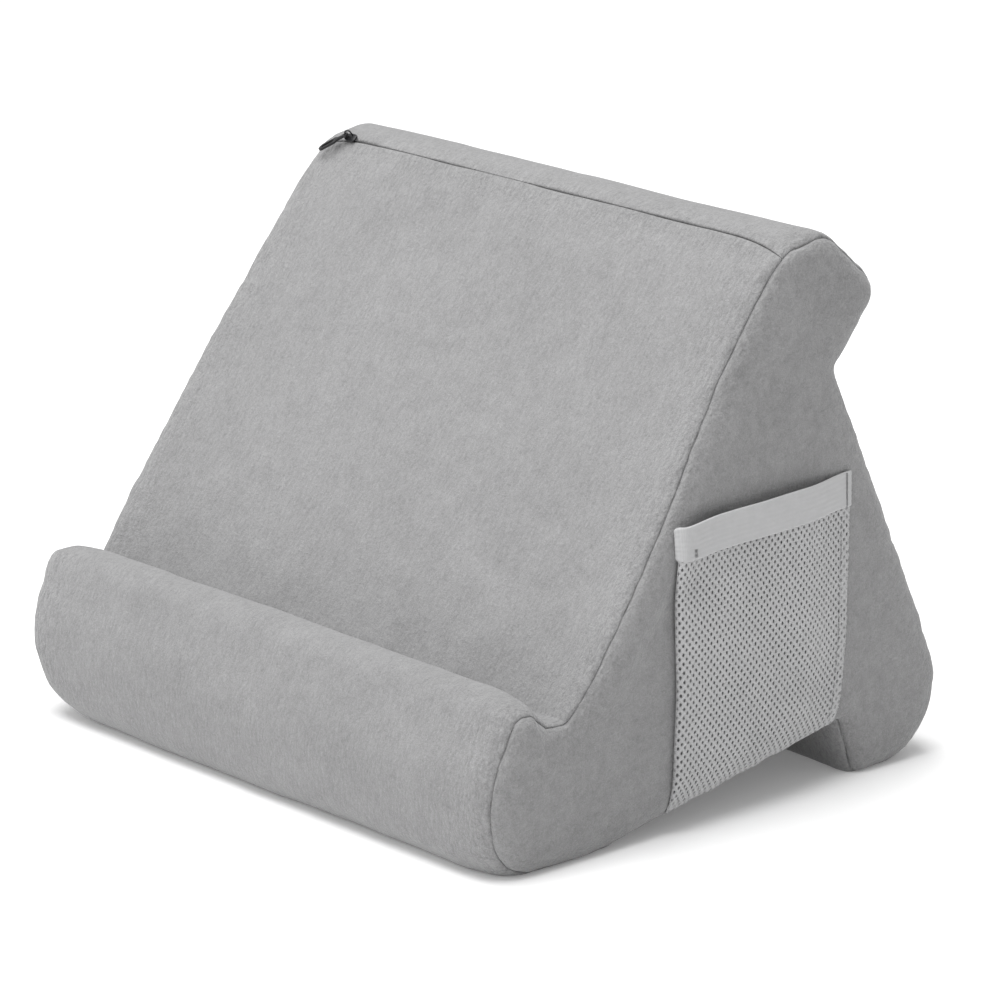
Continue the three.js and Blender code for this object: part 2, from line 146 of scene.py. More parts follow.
FRONT_Z = [50, 57, 68, 81, 94, 115, 131, 145, 163, 185, 198, 206, 213]
FRONT_X = [135.2, 137.0, 138.4, 138.0, 137.6, 135.5, 133.4, 130.9, 128.2, 127.6, 127.8, 129.6, 130.2]


def x_seam(z, side=1, y=None):
    """Half the width at a side seam. Along the front face the right seam wanders further."""
    if side > 0:
        base = np.interp(z, [0, 30, 57, 130, 213], [133.6, 134.6, 135.4, 132.6, 129.4])
        if y is None:
            return base
        near = (1 - smooth((y - 11 - 0.742 * (z - 53) - 5) / 20)) * smooth((z - 48) / 8) * smooth((y + 1) / 10)
        return base + (np.interp(z, FRONT_Z, FRONT_X) - base) * near
    base = np.interp(z, [0, 6, 14, 30, 45, 60, 70, 80, 100, 130, 160, 190, 213],
                     [120.0, 124.0, 128.0, 131.0, 133.0, 134.8, 135.8, 136.0, 135.7, 135.2, 133.2, 131.0, 128.6])
    if y is None:
        return base
    return base - np.interp(z, [0, 5, 12, 26], [6.5, 5.0, 3.0, 0.0]) * (1 - smooth((y + 4) / 40))


def crease_at(u):
    """The line of a side seam, which is pulled in more in one place than in another."""
    C, nc = crease.at(u)
    p = np.column_stack([C, np.zeros(len(C))])
    w = 0.42 * n3(p, 9.0, 21.0) + 0.30 * n3(p, 3.6, 22.0)
    return C + nc * w[:, None], nc


ROLL_UP = 2.0  # how far the cloth stands over the crease beside a side seam


def wrap_at(s, e, side, lift=0.0, rough=True):
    """Points of the wrap's face at arc length s, e mm in from the side seam, with normals in Y, Z."""
    s, e = np.broadcast_arrays(np.asarray(s, float), np.asarray(e, float))
    shape = s.shape
    s, e = s.ravel(), e.ravel()
    u = u_of(s)
    M, nm = mid.at(u)
    C, nc = crease_at(u)
    if side < 0:  # the far top corner is pulled down a little more
        C = C - np.column_stack([np.zeros(len(C)), 1.7 * smooth((C[:, 1] - 188) / 18)])
    E = C + nc * ROLL_UP
    xs = x_seam(C[:, 1], side, C[:, 0])
    x = side * (xs - e - (xs - 134.0) * (e / 134.0) ** 2)
    t = np.clip(1 - e / 28.0, 0, 1) ** 2.2
    tr = np.clip(1 - e / 3.2, 0, 1)
    P = M + (E - M) * t[:, None] + (C - E) * (1 - np.sqrt(np.maximum(0, 1 - tr ** 2)))[:, None]
    n = nm + (nc - nm) * t[:, None]
    n /= np.linalg.norm(n, axis=1)[:, None]
    q = np.minimum(np.mod(s, TOTAL), TOTAL - np.mod(s, TOTAL))
    p3 = np.column_stack([x, P])
    out = np.full(len(s), float(lift))
    if rough:
        calm = smooth((q - 5) / 22)
        edge = 1 - tr
        out += smooth(e / 7.0) * smooth((q - 3.6) / 11.0)  # the cloth's own thickness
        lipf = np.exp(-(((P[:, 0] + 16) / 16) ** 2 + ((P[:, 1] - 38) / 26) ** 2))
        out += edge * lipf * (0.30 * n3(p3, 19, 31.0) + 0.12 * n3(p3, 9, 32.0))
        out += edge * (0.25 + 0.75 * calm) * 0.62 * n3(p3, 46, 3.1)
        out += edge * calm * (0.26 * n3(p3, 15, 9.4) + 0.11 * n3(p3, 6.5, 1.7))
        near = 0.50 + 0.55 * np.exp(-(((P[:, 0] + 6) ** 2 + (P[:, 1] - 60) ** 2) / 200))
        hollow = np.exp(-(((P[:, 0] - 8) ** 2 + (P[:, 1] - 53) ** 2) / 60))
        near *= 1 - 0.75 * hollow
        line = np.column_stack([s, np.full(len(s), side * 40.0), e * 0.25])
        out += 1.25 * near * np.exp(-e / 8.5) * (1 - np.exp(-e / 0.9)) * (n3(line, 8.5, 5.0) + 0.5 * n3(line, 3.6, 8.0))
        # the seam itself wanders and the pile beside it is uneven
        out += np.clip(1 - e / 2.6, 0, 1) * (0.22 * n3(line, 2.6, 11.0) + 0.20 * n3(line, 6.0, 12.0))
    P = P + n * out[:, None]
    P[:, 1] = np.maximum(P[:, 1], 0.02)  # it lies flat on what it stands on
    return np.column_stack([x, P]).reshape(shape + (3,)), n.reshape(shape + (2,))


zip_n = np.array([0.0, math.cos(math.radians(ZIP_DEG)), math.sin(math.radians(ZIP_DEG))])
zip_t = np.array([0.0, zip_n[2], -zip_n[1]])  # towards the rear
_z0, _ = mid.at([U_ZIP])
zip_o = np.array([0.0, _z0[0][0], _z0[0][1]])


def zf(x, t, n):
    """A point in the zip's frame: along X, towards the rear, out of the body."""
    return zip_o + np.array([x, 0.0, 0.0]) + zip_t * t + zip_n * n


# ------------------------------------------------------------------ materials
def material(name, base, rough=0.8, metal=0.0, spec=0.5, sheen=0.0, sheen_rough=0.5, sheen_tint=None, coat=0.0):
    m = bpy.data.materials.new(name)
    m.use_nodes = True
    t = m.node_tree
    b = t.nodes["Principled BSDF"]
    b.inputs["Base Color"].default_value = (*base, 1)
    b.inputs["Roughness"].default_value = rough
    b.inputs["Metallic"].default_value = metal
    b.inputs["Specular IOR Level"].default_value = spec
    b.inputs["Sheen Weight"].default_value = sheen
    b.inputs["Sheen Roughness"].default_value = sheen_rough
    if sheen_tint:
        b.inputs["Sheen Tint"].default_value = (*sheen_tint, 1)
    b.inputs["Coat Weight"].default_value = coat
    co = t.nodes.new("ShaderNodeTexCoord")
    return m, t, b, co.outputs["Object"]


def mapped(t, vec, scale=(1, 1, 1), rot=(0, 0, 0)):
    n = t.nodes.new("ShaderNodeMapping")
    n.inputs["Scale"].default_value = scale
    n.inputs["Rotation"].default_value = rot
    t.links.new(vec, n.inputs["Vector"])
    return n.outputs["Vector"]


def noise_tex(t, vec, scale, detail=2.0, rough=0.5, dist=0.0):
    n = t.nodes.new("ShaderNodeTexNoise")
    n.inputs["Scale"].default_value = scale
    n.inputs["Detail"].default_value = detail
    n.inputs["Roughness"].default_value = rough
    n.inputs["Distortion"].default_value = dist
    t.links.new(vec, n.inputs["Vector"])
    return n.outputs["Fac"]


def wave_tex(t, vec, scale, axis="X", dist=0.0, kind="SIN"):
    n = t.nodes.new("ShaderNodeTexWave")
    n.bands_direction = axis
    n.wave_profile = kind
    n.inputs["Scale"].default_value = scale
    n.inputs["Distortion"].default_value = dist
    t.links.new(vec, n.inputs["Vector"])
    return n.outputs["Fac"]


def math_node(t, op, a, b=0.0, c=None):
    n = t.nodes.new("ShaderNodeMath")
    n.operation = op
    for i, v in enumerate([a, b] if c is None else [a, b, c]):
        if isinstance(v, (int, float)):
            n.inputs[i].default_value = v
        else:
            t.links.new(v, n.inputs[i])
    return n.outputs[0]


def ramp(t, fac, lo, hi, a=0.0, b=1.0):
    n = t.nodes.new("ShaderNodeMapRange")
    n.inputs["From Min"].default_value = lo
    n.inputs["From Max"].default_value = hi
    n.inputs["To Min"].default_value = a
    n.inputs["To Max"].default_value = b
    t.links.new(fac, n.inputs["Value"])
    return n.outputs["Result"]


def tinted(t, b, base, factor):
    """Base colour times factor, which is about 1."""
    n = t.nodes.new("ShaderNodeVectorMath")
    n.operation = "SCALE"
    n.inputs[0].default_value = base
    t.links.new(factor, n.inputs["Scale"])
    t.links.new(n.outputs["Vector"], b.inputs["Base Color"])


def bump(t, b, height, dist_m, strength=1.0):
    n = t.nodes.new("ShaderNodeBump")
    n.inputs["Strength"].default_value = strength
    n.inputs["Distance"].default_value = dist_m
    t.links.new(height, n.inputs["Height"])
    t.links.new(n.outputs["Normal"], b.inputs["Normal"])


def velvet(name, base):
    m, t, b, co = material(name, base, 0.92, spec=0.2, sheen=0.35, sheen_rough=0.45, sheen_tint=(0.95, 0.95, 0.96))
    near = t.nodes.new("ShaderNodeAttribute")
    near.attribute_name = "near_seam"
    near = near.outputs["Fac"]
    big = noise_tex(t, co, 26, 2, 0.5, 0.6)  # pile brushed one way and another, about 40 mm
    patch = noise_tex(t, co, 95, 3, 0.6, 0.4)  # finger-wide mottling
    streak = noise_tex(t, mapped(t, co, (700, 240, 240), (0, 0, 0.5)), 1.0, 3, 0.65)  # short crushed streaks
    pile = noise_tex(t, co, 2100, 2, 0.6)  # tufts
    tuft = noise_tex(t, co, 760, 3, 0.7)  # clumps of pile, over a millimetre across
    more = ramp(t, near, 0, 1, 1.0, 2.0)
    deeper = ramp(t, near, 0, 1, 1.0, 3.2)
    f = math_node(t, "ADD", ramp(t, big, 0.25, 0.75, -0.05, 0.05), ramp(t, patch, 0.25, 0.75, -0.055, 0.055))
    f = math_node(t, "ADD", f, math_node(t, "MULTIPLY", more, ramp(t, streak, 0.2, 0.8, -0.12, 0.12)))
    f = math_node(t, "ADD", f, math_node(t, "MULTIPLY", more, ramp(t, tuft, 0.2, 0.8, -0.13, 0.13)))
    f = math_node(t, "ADD", f, ramp(t, pile, 0.2, 0.8, -0.20, 0.20))
    # painted highlight: the cloth's colour is up to 5% lighter near the seams, where the rolled edges catch the light
    f = math_node(t, "ADD", f, ramp(t, near, 0, 1, 0.0, 0.05))
    tinted(t, b, base, math_node(t, "ADD", f, 1.0))
    h = math_node(t, "ADD", math_node(t, "MULTIPLY", pile, 0.45), math_node(t, "MULTIPLY", math_node(t, "MULTIPLY", streak, 0.9), deeper))
    h = math_node(t, "ADD", h, math_node(t, "MULTIPLY", patch, 1.6))
    h = math_node(t, "ADD", h, math_node(t, "MULTIPLY", math_node(t, "MULTIPLY", tuft, 0.8), deeper))
    bump(t, b, h, 0.0005, 0.75)
    return m


plush = velvet("plush_velvet", (0.250, 0.249, 0.251))

m, t, b, co = material("foam_cells", (0.80, 0.77, 0.66), 0.9, spec=0.2)
v = t.nodes.new("ShaderNodeTexVoronoi")
v.inputs["Scale"].default_value = 900
t.links.new(co, v.inputs["Vector"])
tinted(t, b, (0.80, 0.77, 0.66), ramp(t, v.outputs["Distance"], 0, 0.7, 0.72, 1.06))
bump(t, b, v.outputs["Distance"], 0.0004, 0.7)
foam = m

m, t, b, co = material("zip_tape_weave", (0.45, 0.45, 0.46), 0.85, spec=0.25)
w1 = wave_tex(t, mapped(t, co, (1, 1, 1), (0, 0, 0.785)), 420, "X")
w2 = wave_tex(t, mapped(t, co, (1, 1, 1), (0, 0, -0.785)), 420, "X")
h = math_node(t, "MAXIMUM", w1, w2)
tinted(t, b, (0.45, 0.45, 0.46), ramp(t, h, 0, 1, 0.7, 1.05))
bump(t, b, h, 0.0001, 0.8)
tape_mat = m

m, t, b, co = material("zip_coil_nylon", (0.33, 0.33, 0.34), 0.38, spec=0.5)
tinted(t, b, (0.33, 0.33, 0.34), ramp(t, noise_tex(t, co, 700, 2), 0.3, 0.7, 0.92, 1.08))
bump(t, b, noise_tex(t, co, 4000, 2), 0.00002, 0.5)
coil_mat = m


def thread_material(name, base):
    m, t, b, co = material(name, base, 0.75, spec=0.3, sheen=0.25)
    ply = wave_tex(t, mapped(t, co, (1, 1, 1), (0.6, 0.5, 0.8)), 900, "DIAGONAL")
    tinted(t, b, base, ramp(t, ply, 0, 1, 0.72, 1.12))
    bump(t, b, ply, 0.00006, 0.8)
    return m


thread_mat = thread_material("thread_spun", (0.23, 0.23, 0.235))
stitch_mat = thread_material("stitch_spun", (0.30, 0.30, 0.305))

m, t, b, co = material("zip_black_lacquer", (0.010, 0.010, 0.011), 0.42, metal=0.0, spec=0.35, coat=0.12)
b.inputs["Coat Roughness"].default_value = 0.22
wear = noise_tex(t, co, 900, 3, 0.6)
tinted(t, b, (0.007, 0.007, 0.008), ramp(t, wear, 0.3, 0.75, 0.7, 1.9))
t.links.new(ramp(t, noise_tex(t, co, 2600, 2), 0.3, 0.7, 0.28, 0.46), b.inputs["Roughness"])
bump(t, b, noise_tex(t, co, 3800, 2), 0.00003, 0.5)
metal = m

m, t, b, co = material("net_knit", (0.36, 0.36, 0.365), 0.8, spec=0.3, sheen=0.3)
k1 = wave_tex(t, mapped(t, co, (1, 1, 1), (0.66, 0, 0)), 700, "Y", 1.5)
k2 = wave_tex(t, mapped(t, co, (1, 1, 1), (-0.66, 0, 0)), 700, "Y", 1.5)
h = math_node(t, "MAXIMUM", k1, k2)
f = math_node(t, "ADD", ramp(t, h, 0, 1, 0.80, 1.05), ramp(t, noise_tex(t, co, 60, 2), 0.3, 0.7, -0.04, 0.04))
tinted(t, b, (0.46, 0.46, 0.465), f)
bump(t, b, h, 0.00014, 0.8)
net_mat = m

m, t, b, co = material("elastic_ribbed", (0.50, 0.50, 0.505), 0.78, spec=0.3, sheen=0.25)
yarn = wave_tex(t, co, 520, "Y", 1.2)
warp = wave_tex(t, co, 640, "Z", 0.6)
h = math_node(t, "ADD", math_node(t, "MULTIPLY", yarn, 0.6), math_node(t, "MULTIPLY", warp, 0.4))
f = math_node(t, "ADD", ramp(t, h, 0, 1, 0.93, 1.05), ramp(t, noise_tex(t, co, 300, 3), 0.3, 0.7, -0.025, 0.025))
tinted(t, b, (0.45, 0.45, 0.455), f)
bump(t, b, h, 0.00009, 0.7)
band_mat = m


# ------------------------------------------------------------------ mesh helpers
def make(name, verts, faces, mat, body, nodes=(), flat=False, metres=False):
    co = np.asarray(verts, float) if metres else row(verts)
    me = bpy.data.meshes.new(name)
    me.from_pydata([tuple(v) for v in co], [], [tuple(int(i) for i in f) for f in faces])
    me.validate()
    me.update()
    o = bpy.data.objects.new(name, me)
    bpy.context.scene.collection.objects.link(o)
    me.materials.append(mat)
    if not flat:
        me.polygons.foreach_set("use_smooth", [True] * len(me.polygons))
    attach(o, body)
    if nodes:
        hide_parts(*nodes)
    return o


def mark(o, values):
    a = o.data.attributes.new("near_seam", "FLOAT", "POINT")
    a.data.foreach_set("value", np.asarray(values, np.float32))


def solidify(o, mm, offset=-1.0):
    m = o.modifiers.new("cloth", "SOLIDIFY")
    m.thickness = mm * MM
    m.offset = offset
    m.use_even_offset = False
    return m


def grid_faces(rows, cols, closed_rows=False, flip=False):
    f = []
    for i in range(rows if closed_rows else rows - 1):
        a, b = i * cols, ((i + 1) % rows) * cols
        for j in range(cols - 1):
            q = (a + j, b + j, b + j + 1, a + j + 1)
            f.append(q[::-1] if flip else q)
    return f


def tube(points, radius, sides=6, closed=False, radii=None):
    p = np.asarray(points, float)
    n = len(p)
    if closed:
        d = np.roll(p, -1, 0) - np.roll(p, 1, 0)
    else:
        d = np.gradient(p, axis=0)
    d /= np.maximum(np.linalg.norm(d, axis=1), 1e-9)[:, None]
    a = np.cross(d[0], [0.0, 0.0, 1.0])
    if np.linalg.norm(a) < 0.1:
        a = np.cross(d[0], [0.0, 1.0, 0.0])
    a /= np.linalg.norm(a)
    V = []
    for i in range(n):
        a = a - d[i] * (a @ d[i])
        a /= np.linalg.norm(a)
        c = np.cross(d[i], a)
        r = radius if radii is None else radii[i]
        for k in range(sides):
            w = 2 * math.pi * k / sides
            V.append(p[i] + r * (a * math.cos(w) + c * math.sin(w)))
    F = []
    for i in range(n if closed else n - 1):
        j = (i + 1) % n
        for k in range(sides):
            l = (k + 1) % sides
            F.append((i * sides + k, i * sides + l, j * sides + l, j * sides + k))
    if not closed:
        F.append(tuple(range(sides))[::-1])
        F.append(tuple((n - 1) * sides + k for k in range(sides)))
    return V, F


def oriented(V, F):
    """Turns a closed mesh so that its faces point out."""
    V = np.asarray(V, float)
    vol = 0.0
    for q in F:
        a = V[q[0]]
        for i in range(1, len(q) - 1):
            vol += np.dot(a, np.cross(V[q[i]], V[q[i + 1]]))
    return (V, F) if vol > 0 else (V, [tuple(q[::-1]) for q in F])


def joined(parts):
    V, F = [], []
    for v, f in parts:
        base = len(V)
        V += [tuple(q) for q in v]
        F += [tuple(i + base for i in q) for q in f]
    return V, F


# ------------------------------------------------------------------ cover: the wrap
LIP = 0.17  # half the gap between the two edges of the cloth over the zip
LIP_R = 1.05


def wrap_rows():
    out = [1.9]
    while out[-1] < TOTAL - 2.3:
        s = out[-1]
        u = float(u_of(s)) % (2 * NC)
        i = int(u // 2)
        step = 2.5
        r = mid.arcs[i][1]
        if u - 2 * i < 1:
            step = 0.75 if r < 6 else (1.35 if r < 15 else 2.2)
        else:  # shorter steps coming up to a corner
            gap = min(u - 2 * i - 1, 2 * i + 2 - u)
            step = 2.4 if gap > 0.06 else 1.4
        q = min(s, TOTAL - s)
        if q < 16:
            step = min(step, 0.9)
        out.append(s + step)
    out[-1] = TOTAL - 1.9
    return np.array(out)


S_ROWS = wrap_rows()
E_HALF = [0, .2, .45, .8, 1.25, 1.8, 2.5, 3.3, 4.3, 5.6, 7.2, 9.2, 11.6, 14.4, 17.6, 21.2, 25, 29]
while E_HALF[-1] < 129.5:
    E_HALF.append(E_HALF[-1] + 4.1)
E_HALF = np.array([e for e in E_HALF if e < 132] + [134.0])
SIDE = np.concatenate([-np.ones(len(E_HALF)), np.ones(len(E_HALF) - 1)])
E_COL = np.concatenate([E_HALF, E_HALF[:-1][::-1]])
COLS = len(E_COL)


def wrap_grid(s, lift=0.0, rough=True):
    s = np.atleast_1d(s)
    P = np.zeros((len(s), COLS, 3))
    N = np.zeros((len(s), COLS, 2))
    for side in (-1, 1):
        k = SIDE == side
        P[:, k], N[:, k] = wrap_at(s[:, None], E_COL[k][None, :], side, lift, rough)
    return P, N


body_rows, _ = wrap_grid(S_ROWS)
base_row, _ = wrap_grid(np.array([0.0]))
base_row = base_row[0]
lip_rows = []  # from deep inside the gap up to the face, front side then rear side
_gap = np.clip(0.42 + 1.1 * n3(np.column_stack([base_row[:, 0], np.zeros(COLS), np.zeros(COLS)]), 24, 41.0)
               + 0.5 * smooth((base_row[:, 0] - 50) / 60), 0.0, 1.0)
_gap = np.maximum(_gap, np.exp(-(((base_row[:, 0] + 112.5) / 5.0) ** 4)))  # held apart by the slider
open_half = LIP * _gap * (1 - smooth((np.abs(base_row[:, 0]) - 120.5) / 2.2)) + 0.04
for sgn in (-1.0, 1.0):  # -1 is towards the front face
    prof = [(1.7, -3.5), (0.35, -3.35), (0.0, -3.0), (0.0, -2.3)]
    prof += [(LIP_R * (1 - math.cos(a)), -LIP_R * (1 - math.sin(a)) - 0.08) for a in np.linspace(0.0, math.pi / 2 * 0.9, 6)]
    rows_ = []
    for a, d in prof:
        wig = 0.22 * n3(np.column_stack([base_row[:, 0], np.full(COLS, sgn * 9.0), np.zeros(COLS)]), 9, 2.2)
        # near the side seam the folded edge flattens into the crease
        e = np.array(E_COL)
        f = smooth(e / 5.0)
        g = 0.35 + 0.65 * _gap if d > -1.5 else 1.0
        tt = sgn * (open_half + a * g * (0.7 + 0.3 * f) + np.maximum(0, wig) * f * _gap)
        rows_.append(base_row + zip_t * tt[:, None] + zip_n * (d * g * (0.7 + 0.3 * f))[:, None])
    lip_rows.append(rows_)
front, rear = lip_rows
allrows = front + [body_rows[i] for i in range(len(S_ROWS))] + rear[::-1]
G = np.stack(allrows)
wrap = make("cover_wrap_cloth", G.reshape(-1, 3), grid_faces(len(G), COLS), plush, "cover",
            ["cover_wrap"])
_srow = np.concatenate([np.zeros(len(front)), np.minimum(S_ROWS, TOTAL - S_ROWS), np.zeros(len(rear))])
mark(wrap, np.maximum(np.exp(-E_COL / 11.0)[None, :], 0.6 * np.exp(-_srow / 9.0)[:, None]).ravel())
solidify(wrap, 1.0)


# ------------------------------------------------------------------ cover: side panels
def ring_points(step_rows):
    s = np.concatenate([[0.0], S_ROWS[::step_rows]])
    C, nc = crease_at(u_of(s))
    return s, C, nc


def dist_to(poly, pts):
    a = poly
    b = np.roll(poly, -1, 0)
    ab = b - a
    best = np.full(len(pts), 1e9)
    idx = np.zeros(len(pts), int)
    L2 = np.maximum((ab ** 2).sum(1), 1e-12)
    for k in range(0, len(pts), 400):
        q = pts[k:k + 400]
        w = q[:, None, :] - a[None]
        f = np.clip((w * ab[None]).sum(2) / L2, 0, 1)
        d = np.linalg.norm(w - ab[None] * f[..., None], axis=2)
        idx[k:k + 400] = d.argmin(1)
        best[k:k + 400] = d.min(1)
    return best, idx


def inside(poly, pts):
    x, y = pts[:, 0], pts[:, 1]
    ok = np.zeros(len(pts), bool)
    a, b = poly, np.roll(poly, -1, 0)
    for (x1, y1), (x2, y2) in zip(a, b):
        k = (y1 > y) != (y2 > y)
        if abs(y2 - y1) > 1e-12:
            ok ^= k & (x < (x2 - x1) * (y - y1) / (y2 - y1) + x1)
    return ok


def filled(poly, nrm, rings, spacing, keep=0.93):
    """A triangulated sheet inside poly: its corners first, then rings inside it, then a lattice."""
    pts = [poly]
    for d in rings:
        q = poly - nrm * d
        dd, _ = dist_to(poly, q)
        pts.append(q[(dd > d * keep) & inside(poly, q)][::(1 if d < 1.5 else 2)])
    last = rings[-1] if rings else 0.0
    lo, hi = poly.min(0), poly.max(0)
    g = []
    y, k = lo[1], 0
    while y < hi[1]:
        xs = np.arange(lo[0] + (spacing / 2 if k % 2 else 0), hi[0], spacing)
        g.append(np.column_stack([xs, np.full(len(xs), y)]))
        y += spacing * 0.866
        k += 1
    g = np.concatenate(g)
    g = g[inside(poly, g)]
    dd, _ = dist_to(poly, g)
    g = g[dd > last + spacing * 0.55]
    pts.append(g)
    pts = np.concatenate(pts)
    nb = len(poly)
    edges = [(i, (i + 1) % nb) for i in range(nb)]
    v, _, f, *_ = delaunay_2d_cdt([Vector(p) for p in pts], edges, [], 1, 1e-5)
    return np.array([tuple(p) for p in v]), [tuple(q) for q in f]


_bs, BOUND, BNORM = ring_points(1)
panel_v, panel_f = filled(BOUND, BNORM, [.2, .5, .95, 1.6, 2.4, 3.4, 4.6, 5.9, 7.6, 9.6], 3.2)
panel_d, panel_near = dist_to(BOUND, panel_v)
_e = np.array([(f[i], f[(i + 1) % 3]) for f in panel_f for i in range(3)])


def relaxed(values, free, turns):
    v = values.copy()
    n = len(v)
    cnt = np.bincount(_e[:, 0], minlength=n) + np.bincount(_e[:, 1], minlength=n)
    for _ in range(turns):
        acc = np.bincount(_e[:, 0], v[_e[:, 1]], n) + np.bincount(_e[:, 1], v[_e[:, 0]], n)
        v = np.where(free, acc / np.maximum(cnt, 1), v)
    return v


def panel_x(side):
    d = panel_d
    crown = (0.5 if side > 0 else 0.3) * (1 - np.exp(-d / 20.0))
    crown = relaxed(crown, d > 3.0, 70)
    wide = 11.5
    roll = (5.1 if side > 0 else 3.7) * np.sqrt(np.maximum(0, 1 - (1 - np.minimum(d, wide) / wide) ** 2))
    x = x_seam(panel_v[:, 1], side, panel_v[:, 0]) + roll + crown
    p3 = np.column_stack([np.full(len(panel_v), side * 150.0), panel_v])
    x = x + smooth(d / 5) * (0.5 * n3(p3, 48, 4.4) + 0.16 * n3(p3, 14, 6.6))
    s = _bs[np.minimum(panel_near, len(_bs) - 1)]
    line = np.column_stack([s, np.full(len(s), side * 77.0), d * 0.3])
    amp = 0.40 + 0.8 * np.exp(-(((panel_v[:, 0] - 10) ** 2 + (panel_v[:, 1] - 50) ** 2) / 220))
    x = x + amp * np.exp(-d / 6.5) * (1 - np.exp(-d / 0.8)) * (n3(line, 8.0, 1.5) + 0.6 * n3(line, 3.4, 3.5))
    x = x + 0.30 * np.clip(1 - d / 3.5, 0, 1) * np.clip(d / 0.3, 0, 1) * n3(line, 2.4, 14.0)
    # short pleats fanning out below the end of the ledge, where the cloth is gathered round it
    dy, dz = panel_v[:, 0] - 9.0, panel_v[:, 1] - 52.0
    rad, ang = np.hypot(dy, dz), np.arctan2(dz, dy)
    fan = np.exp(-((rad - 13) / 8.5) ** 2) * smooth((-ang - 0.05) / 0.5) * smooth((2.9 + ang) / 0.5)
    x = x + 0.62 * fan * np.sin(ang * 8.5 + 0.05 * rad + 1.2 * side) * smooth(d / 3)
    return x


panels = {}
for side, name in ((1, "right"), (-1, "left")):
    x = panel_x(side)
    yz = panel_v.copy()
    if side < 0:
        yz[:, 1] -= 1.7 * smooth((yz[:, 1] - 188) / 18)
    yz[:, 1] = np.maximum(yz[:, 1], 0.02)
    v = np.column_stack([side * x, yz])
    f = panel_f if side > 0 else [q[::-1] for q in panel_f]
    o = make(f"cover_side_{name}_cloth", v, f, plush, "cover", [f"cover_side_{name}"])
    mark(o, 0.55 * np.exp(-panel_d / 7.0))
    solidify(o, 1.0)
    panels[side] = (v, o)

# ------------------------------------------------------------------ foam block
f_s = np.concatenate([[0.0, 3.0, 5.2, 5.6, 9.0, 14.8, 15.6], S_ROWS[(S_ROWS > 17) & (S_ROWS < TOTAL - 17)][::3],
                      [TOTAL - 15.6, TOTAL - 14.8, TOTAL - 9.0, TOTAL - 5.6, TOTAL - 5.2, TOTAL - 3.0]])
f_q = np.minimum(f_s, TOTAL - f_s)
f_depth = np.where(f_q < 5.4, 7.6, np.where(f_q < 15.2, 4.6, 2.4))
f_e = np.array([1.9, 2.6, 4, 7, 12, 18, 26, 40, 60, 85, 110, 134.0])
cols = []
for side, es in ((-1, f_e), (1, f_e[:-1][::-1])):
    for e in es:
        P, n = wrap_at(f_s, e, side, rough=False)
        P[:, 1:] -= n * f_depth[:, None]
        cols.append(P)
Gf = np.stack(cols, 1)
FR, FC = Gf.shape[:2]
V = list(Gf.reshape(-1, 3))
F = grid_faces(FR, FC, closed_rows=True, flip=True)
for j, side in ((0, -1), (FC - 1, 1)):
    ring = Gf[:, j, 1:]
    cv, cf = filled(ring, np.zeros_like(ring), [], 9.0)
    cd, _ = dist_to(ring, cv)
    base = len(V)
    m_ = [i * FC + j for i in range(FR)]
    for i in range(FR, len(cv)):
        V.append(np.array([side * (x_seam(cv[i, 1], side, cv[i, 0]) - 1.7 + 3.6 * (1 - math.exp(-cd[i] / 14.0))), cv[i, 0], cv[i, 1]]))
    idx = m_ + [base + i for i in range(len(cv) - FR)]
    for q in cf:
        q = tuple(idx[i] for i in q)
        F.append(q if side > 0 else q[::-1])
V, F = oriented(V, F)
foam_o = make("foam_block", V, F, foam, "cover", ["foam_core"])

# ------------------------------------------------------------------ seam threads
for side, name in ((1, "right"), (-1, "left")):
    ss = np.arange(0, TOTAL, 0.75)
    C, nc = crease_at(u_of(ss))
    w = 0.16 * np.sin(2 * math.pi * ss / 3.0)
    if side < 0:
        C = C - np.column_stack([np.zeros(len(C)), 1.7 * smooth((C[:, 1] - 188) / 18)])
    p = np.column_stack([side * (x_seam(C[:, 1], side, C[:, 0]) + w - 0.1), C - nc * 0.28])
    p[:, 2] = np.maximum(p[:, 2], 0.3)
    v, f = tube(p, 0.24, 5, closed=True)
    make(f"side_seam_stitching_{name}", v, f, thread_mat, "cover", [f"side_seam_thread_{name}"])

# ------------------------------------------------------------------ zip
ZX = np.arange(-124.0, 124.01, 2.0)


def at_x(s, x, depth, extra_n=0.0, rough=False):
    """A point under the wrap's face at arc length s and position x, depth mm in."""
    x = np.atleast_1d(np.asarray(x, float))
    out = np.zeros((len(x), 3))
    for side in (-1, 1):
        k = (x <= 0) if side < 0 else (x > 0)
        if not k.any():
            continue
        u = u_of(np.full(k.sum(), float(s)))
        C, _ = crease_at(u)
        e = x_seam(C[:, 1], side, C[:, 0]) - np.abs(x[k])
        P, n = wrap_at(np.full(k.sum(), float(s)), np.maximum(e, 0), side, rough=rough)
        P[:, 0] = x[k]
        P[:, 1:] -= n * depth
        out[k] = P
    return out


